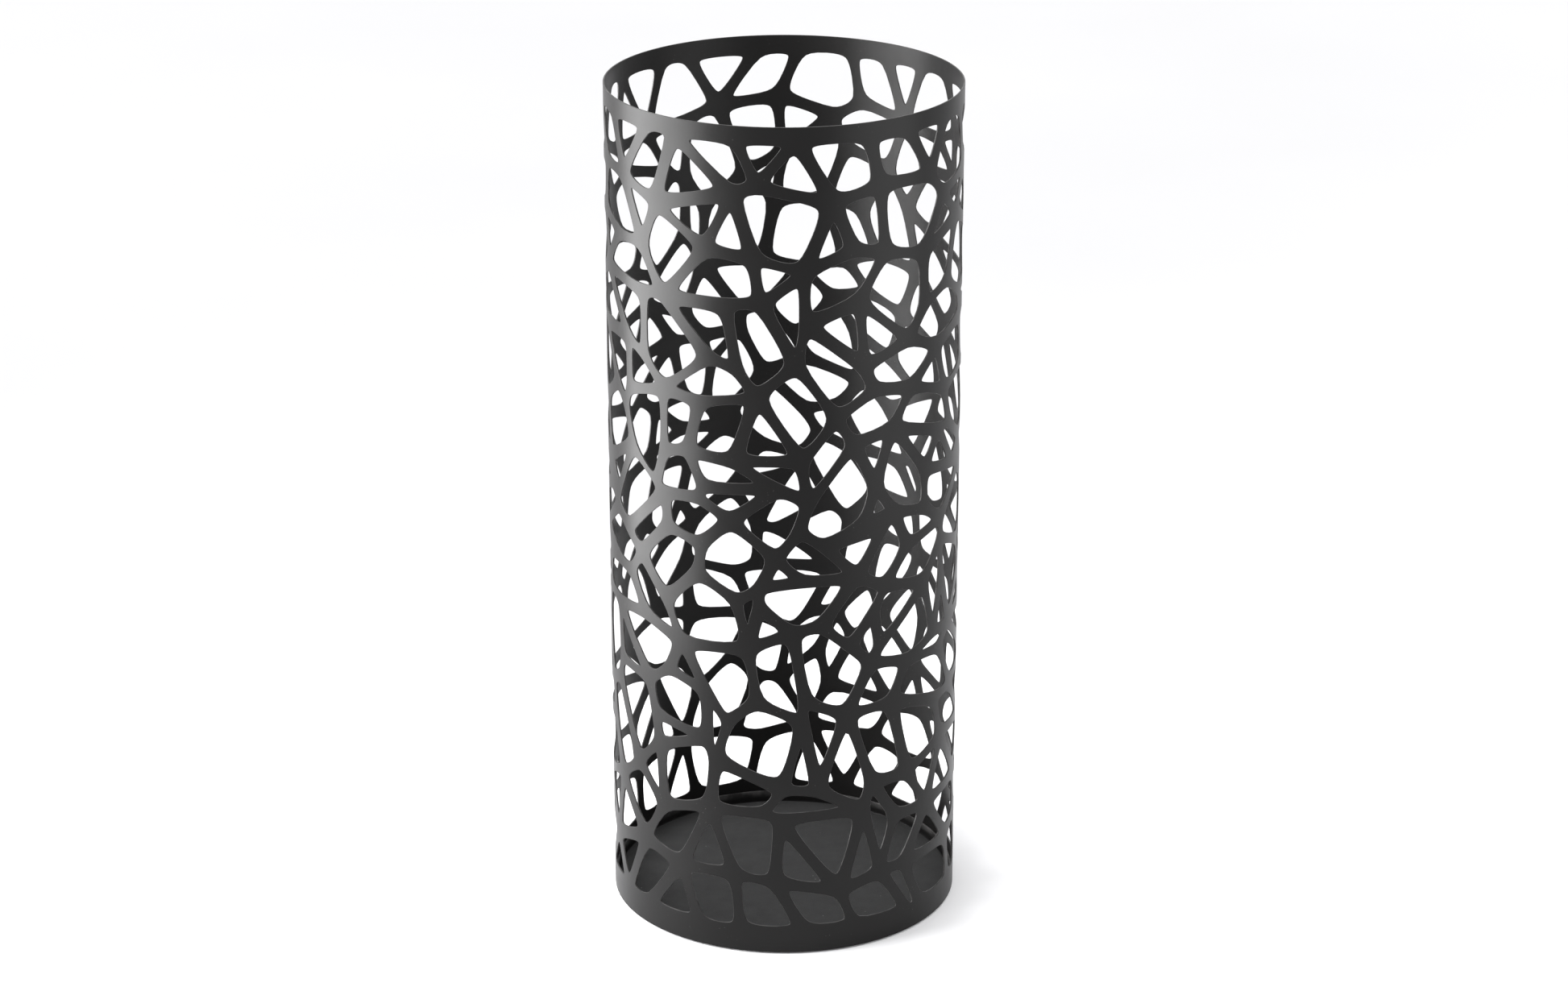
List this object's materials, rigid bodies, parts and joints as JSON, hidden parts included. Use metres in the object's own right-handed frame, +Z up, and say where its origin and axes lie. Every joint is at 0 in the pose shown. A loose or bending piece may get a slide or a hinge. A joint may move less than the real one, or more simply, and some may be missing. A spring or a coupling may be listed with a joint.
{
  "type": "umbrella stand",
  "caption": "Free-standing round umbrella stand: a rolled sheet-steel tube cut through with an irregular web of rounded holes, with a shallow pan and a lift-out mat.",
  "frame": {"origin": "centre of the circle that the four feet stand on, on the floor", "axes": "+Z up along the axis of the tube, towards its open mouth; the feet lie at 45 degrees to +X and +Y"},
  "size_m": [0.205, 0.205, 0.5],
  "materials": {
    "powder_coated_steel": "satin black powder coat",
    "mat_rubber": "matte dark grey, finely grained",
    "weld_metal": "powder-coated weld bead",
    "foot_rubber": "matte black rubber"
  },
  "bodies": {
    "stand": {"shell": "powder_coated_steel", "base_pan": "powder_coated_steel", "tack_welds": "weld_metal", "foot_1": "foot_rubber", "foot_2": "foot_rubber", "foot_3": "foot_rubber", "foot_4": "foot_rubber"},
    "mat": {"mat": "mat_rubber"}
  },
  "joints": [
    {"name": "mat_lift", "type": "slide", "parent": "stand", "child": "mat", "axis": [0, 0, 1], "range_m": [0, 0.52]}
  ]
}
